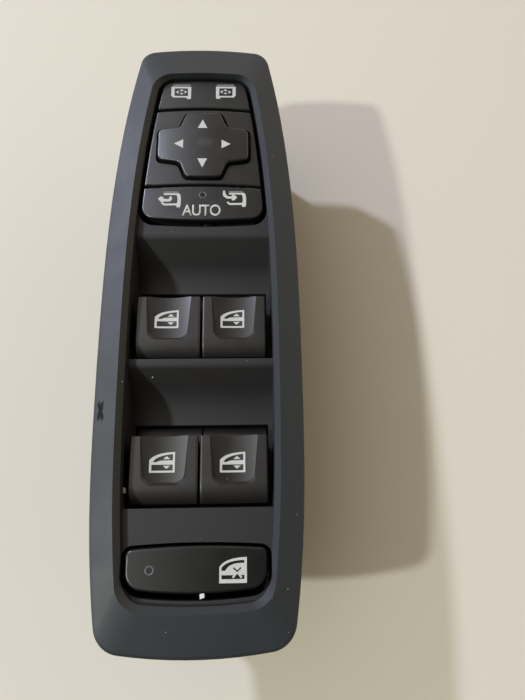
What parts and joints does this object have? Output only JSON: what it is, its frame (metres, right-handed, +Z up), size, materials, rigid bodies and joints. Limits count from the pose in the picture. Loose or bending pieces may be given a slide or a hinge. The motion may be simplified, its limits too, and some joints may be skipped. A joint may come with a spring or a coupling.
{
  "type": "power window switch",
  "caption": "Driver's door switch panel: rocking window keys with finger wells, a lock key, and mirror controls with a four-way pad, in a clip-in housing with a connector.",
  "frame": {"origin": "centre of the panel's outline, on the plane of the base cover's flat foot", "axes": "+Y along the panel to the front of the vehicle, +X across it to the right, +Z up out of the keys"},
  "size_m": [0.0672, 0.2125, 0.055],
  "materials": {
    "bezel_plastic": "fine-grained soft-touch black",
    "key_plastic": "satin black",
    "housing_plastic": "plain moulded black",
    "connector_plastic": "moulded black",
    "guide_plastic": "natural white",
    "board": "green solder mask",
    "plated_pins": "tin over brass",
    "screw_steel": "zinc plated",
    "spring_steel": "blued spring steel",
    "silicone": "translucent white",
    "clear_plastic": "clear moulding",
    "lamp": "small lamp package"
  },
  "bodies": {
    "panel": {"bezel": "bezel_plastic", "retaining_clips": "spring_steel", "front_contact_block": "connector_plastic", "rear_contact_block": "connector_plastic", "front_left_springs": "spring_steel", "front_right_springs": "spring_steel", "rear_left_springs": "spring_steel", "rear_right_springs": "spring_steel", "lock_dome": "silicone", "lock_light_pipe": "clear_plastic", "mirror_case": "housing_plastic", "mirror_board": "board", "mirror_mat": "silicone", "mirror_surround": "key_plastic", "switch_housing": "housing_plastic", "base_cover": "housing_plastic", "circuit_board": "board", "connector_header": "connector_plastic", "connector_pins": "plated_pins", "housing_screws": "screw_steel", "indicator_lamps": "lamp", "link_pins": "plated_pins"},
    "front_left": {"front_left_key": "key_plastic"},
    "front_left_slide": {"front_left_slider": "guide_plastic"},
    "front_right": {"front_right_key": "key_plastic"},
    "front_right_slide": {"front_right_slider": "guide_plastic"},
    "rear_left": {"rear_left_key": "key_plastic"},
    "rear_left_slide": {"rear_left_slider": "guide_plastic"},
    "rear_right": {"rear_right_key": "key_plastic"},
    "rear_right_slide": {"rear_right_slider": "guide_plastic"},
    "lock": {"lock_key": "key_plastic", "lock_lens": "clear_plastic"},
    "mirror_select": {"mirror_select_key": "key_plastic"},
    "mirror_fold": {"mirror_fold_key": "key_plastic", "fold_lens": "clear_plastic"},
    "pad_ring": {"pad_gimbal": "guide_plastic"},
    "pad": {"mirror_pad": "key_plastic"}
  },
  "joints": [
    {"name": "front_left_rock", "type": "hinge", "parent": "panel", "child": "front_left", "pos_m": [0, -0.0085, 0.042], "axis": [1, 0, 0], "range_deg": [-6, 6], "stiffness_Nm_per_rad": 0.6, "deforming": ["front_left_springs"]},
    {"name": "front_left_slider_slide", "type": "slide", "parent": "panel", "child": "front_left_slide", "axis": [0, 1, 0], "range_m": [-0.0016, 0.0016]},
    {"name": "front_right_rock", "type": "hinge", "parent": "panel", "child": "front_right", "pos_m": [0, -0.0085, 0.042], "axis": [1, 0, 0], "range_deg": [-6, 6], "stiffness_Nm_per_rad": 0.6, "deforming": ["front_right_springs"]},
    {"name": "front_right_slider_slide", "type": "slide", "parent": "panel", "child": "front_right_slide", "axis": [0, 1, 0], "range_m": [-0.0016, 0.0016]},
    {"name": "rear_left_rock", "type": "hinge", "parent": "panel", "child": "rear_left", "pos_m": [0, -0.056, 0.042], "axis": [1, 0, 0], "range_deg": [-6, 6], "stiffness_Nm_per_rad": 0.6, "deforming": ["rear_left_springs"]},
    {"name": "rear_left_slider_slide", "type": "slide", "parent": "panel", "child": "rear_left_slide", "axis": [0, 1, 0], "range_m": [-0.0016, 0.0016]},
    {"name": "rear_right_rock", "type": "hinge", "parent": "panel", "child": "rear_right", "pos_m": [0, -0.056, 0.042], "axis": [1, 0, 0], "range_deg": [-6, 6], "stiffness_Nm_per_rad": 0.6, "deforming": ["rear_right_springs"]},
    {"name": "rear_right_slider_slide", "type": "slide", "parent": "panel", "child": "rear_right_slide", "axis": [0, 1, 0], "range_m": [-0.0016, 0.0016]},
    {"name": "lock_push", "type": "slide", "parent": "panel", "child": "lock", "axis": [0, 0, -1], "range_m": [0, 0.0015], "stiffness_N_per_m": 1500, "deforming": ["lock_dome"]},
    {"name": "mirror_select_rock", "type": "hinge", "parent": "panel", "child": "mirror_select", "pos_m": [0, 0.08605, 0.0466], "axis": [0, 1, 0], "range_deg": [-3.5, 3.5], "stiffness_Nm_per_rad": 0.4, "deforming": ["mirror_mat"]},
    {"name": "mirror_fold_rock", "type": "hinge", "parent": "panel", "child": "mirror_fold", "pos_m": [0, 0.03995, 0.0466], "axis": [0, 1, 0], "range_deg": [-3.5, 3.5], "stiffness_Nm_per_rad": 0.4, "deforming": ["mirror_mat"]},
    {"name": "pad_tilt_side", "type": "hinge", "parent": "panel", "child": "pad_ring", "pos_m": [0, 0.0631, 0.047], "axis": [0, 1, 0], "range_deg": [-4, 4], "stiffness_Nm_per_rad": 0.4, "deforming": ["mirror_mat"]},
    {"name": "pad_tilt_fore", "type": "hinge", "parent": "pad_ring", "child": "pad", "pos_m": [0, 0.0631, 0.047], "axis": [1, 0, 0], "range_deg": [-4, 4], "stiffness_Nm_per_rad": 0.4, "deforming": ["mirror_mat"]}
  ],
  "couplings": [
    {"joint": "front_left_slider_slide", "follows": "front_left_rock", "m_per_rad": 0.015},
    {"joint": "front_right_slider_slide", "follows": "front_right_rock", "m_per_rad": 0.015},
    {"joint": "rear_left_slider_slide", "follows": "rear_left_rock", "m_per_rad": 0.015},
    {"joint": "rear_right_slider_slide", "follows": "rear_right_rock", "m_per_rad": 0.015}
  ]
}
